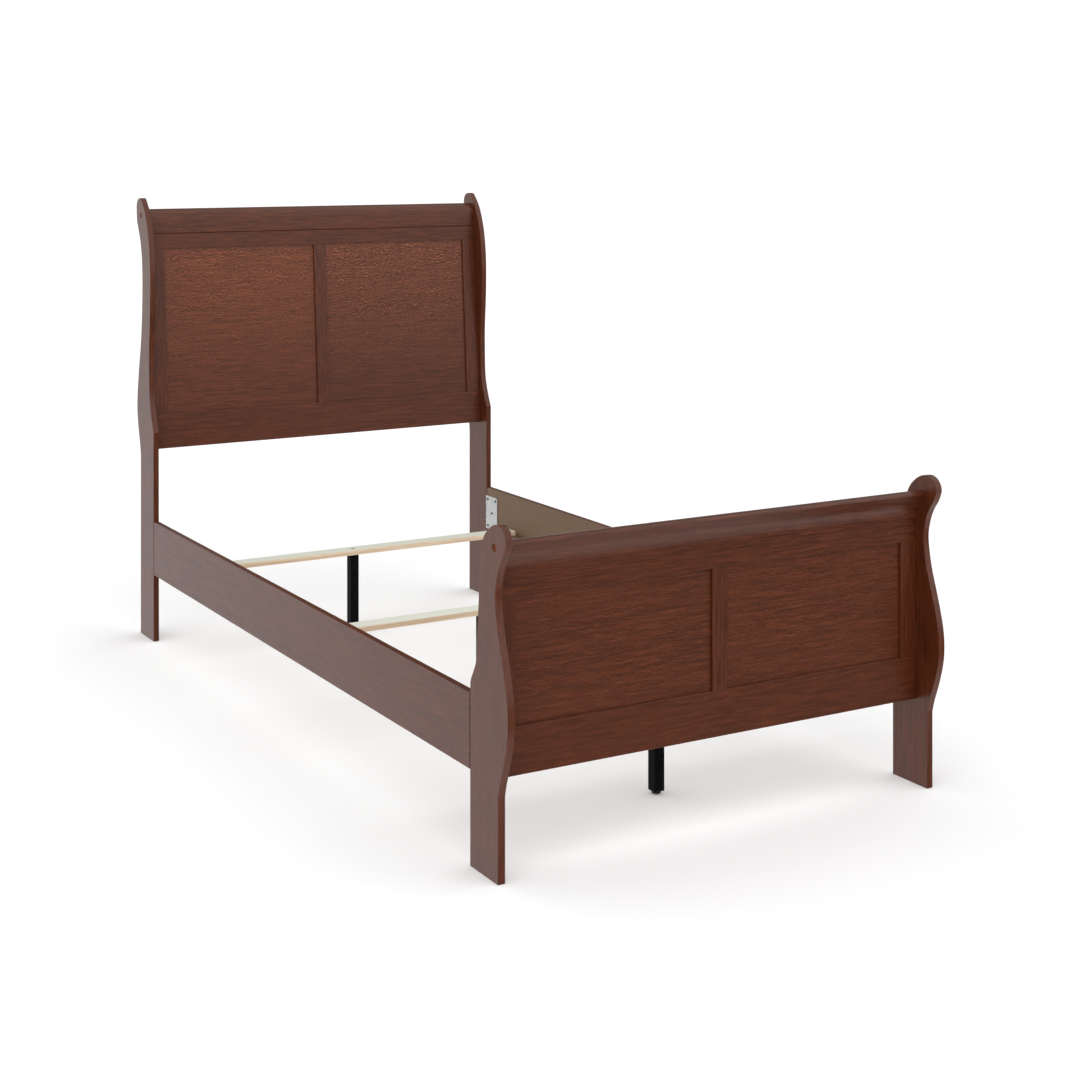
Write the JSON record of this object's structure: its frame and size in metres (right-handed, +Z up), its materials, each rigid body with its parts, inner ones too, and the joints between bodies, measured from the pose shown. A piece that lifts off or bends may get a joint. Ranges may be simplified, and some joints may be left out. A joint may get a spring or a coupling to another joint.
{
  "type": "sleigh bed",
  "caption": "Twin sleigh bed frame: scrolled head and foot boards with recessed panels, hook-on side rails, slats and adjustable centre legs.",
  "frame": {"origin": "on the floor at the centre of the bed's footprint", "axes": "+X across the bed, +Y along it towards the headboard, +Z up; left is -X"},
  "size_m": [1.0478, 2.1336, 1.2065],
  "materials": {
    "cherry_wood": "semi-gloss dark cherry stain over straight grain",
    "cherry_panel": "semi-gloss dark cherry stain over a wavy short-flecked veneer",
    "plug_wood": "satin reddish stain",
    "rail_backing": "matt taupe sealed board",
    "slat_pine": "plain sawn softwood, matt",
    "zinc_plate": "light grey plated sheet steel",
    "fastener_steel": "zinc-plated steel",
    "black_tube": "black powder coat, low sheen",
    "black_plastic": "moulded black plastic"
  },
  "bodies": {
    "frame": {"foot_bottom_rail": "cherry_wood", "foot_crown": "cherry_wood", "foot_mid_stile": "cherry_wood", "foot_panel_left": "cherry_panel", "foot_panel_right": "cherry_panel", "foot_post_left": "cherry_wood", "foot_post_right": "cherry_wood", "foot_scroll_plug_left": "plug_wood", "foot_scroll_plug_right": "plug_wood", "foot_stile_left": "cherry_wood", "foot_stile_right": "cherry_wood", "foot_top_rail": "cherry_wood", "head_bottom_rail": "cherry_wood", "head_crown": "cherry_wood", "head_mid_stile": "cherry_wood", "head_panel_left": "cherry_panel", "head_panel_right": "cherry_panel", "head_post_left": "cherry_wood", "head_post_right": "cherry_wood", "head_scroll_plug_left": "plug_wood", "head_scroll_plug_right": "plug_wood", "head_stile_left": "cherry_wood", "head_stile_right": "cherry_wood", "head_top_rail": "cherry_wood", "hook_pin_foot_left_lower": "fastener_steel", "hook_pin_foot_left_upper": "fastener_steel", "hook_pin_foot_right_lower": "fastener_steel", "hook_pin_foot_right_upper": "fastener_steel", "hook_pin_head_left_lower": "fastener_steel", "hook_pin_head_left_upper": "fastener_steel", "hook_pin_head_right_lower": "fastener_steel", "hook_pin_head_right_upper": "fastener_steel", "leg_bolt_foot": "fastener_steel", "leg_bolt_head": "fastener_steel", "leg_bolt_middle": "fastener_steel", "leg_bottom_plug_foot": "black_plastic", "leg_bottom_plug_head": "black_plastic", "leg_bottom_plug_middle": "black_plastic", "leg_top_plug_foot": "black_plastic", "leg_top_plug_head": "black_plastic", "leg_top_plug_middle": "black_plastic", "leg_tube_foot": "black_tube", "leg_tube_head": "black_tube", "leg_tube_middle": "black_tube", "rail_bracket_foot_left": "zinc_plate", "rail_bracket_foot_right": "zinc_plate", "rail_bracket_head_left": "zinc_plate", "rail_bracket_head_right": "zinc_plate", "side_rail_left": "cherry_wood", "side_rail_right": "cherry_wood", "slat_foot": "slat_pine", "slat_head": "slat_pine", "slat_ledger_left": "rail_backing", "slat_ledger_right": "rail_backing", "slat_middle": "slat_pine"},
    "glide_head": {"leg_glide_head": "black_plastic"},
    "glide_middle": {"leg_glide_middle": "black_plastic"},
    "glide_foot": {"leg_glide_foot": "black_plastic"}
  },
  "joints": [
    {"name": "glide_head_height", "type": "slide", "parent": "frame", "child": "glide_head", "axis": [0, 0, -1], "range_m": [0, 0.015]},
    {"name": "glide_middle_height", "type": "slide", "parent": "frame", "child": "glide_middle", "axis": [0, 0, -1], "range_m": [0, 0.015]},
    {"name": "glide_foot_height", "type": "slide", "parent": "frame", "child": "glide_foot", "axis": [0, 0, -1], "range_m": [0, 0.015]}
  ]
}
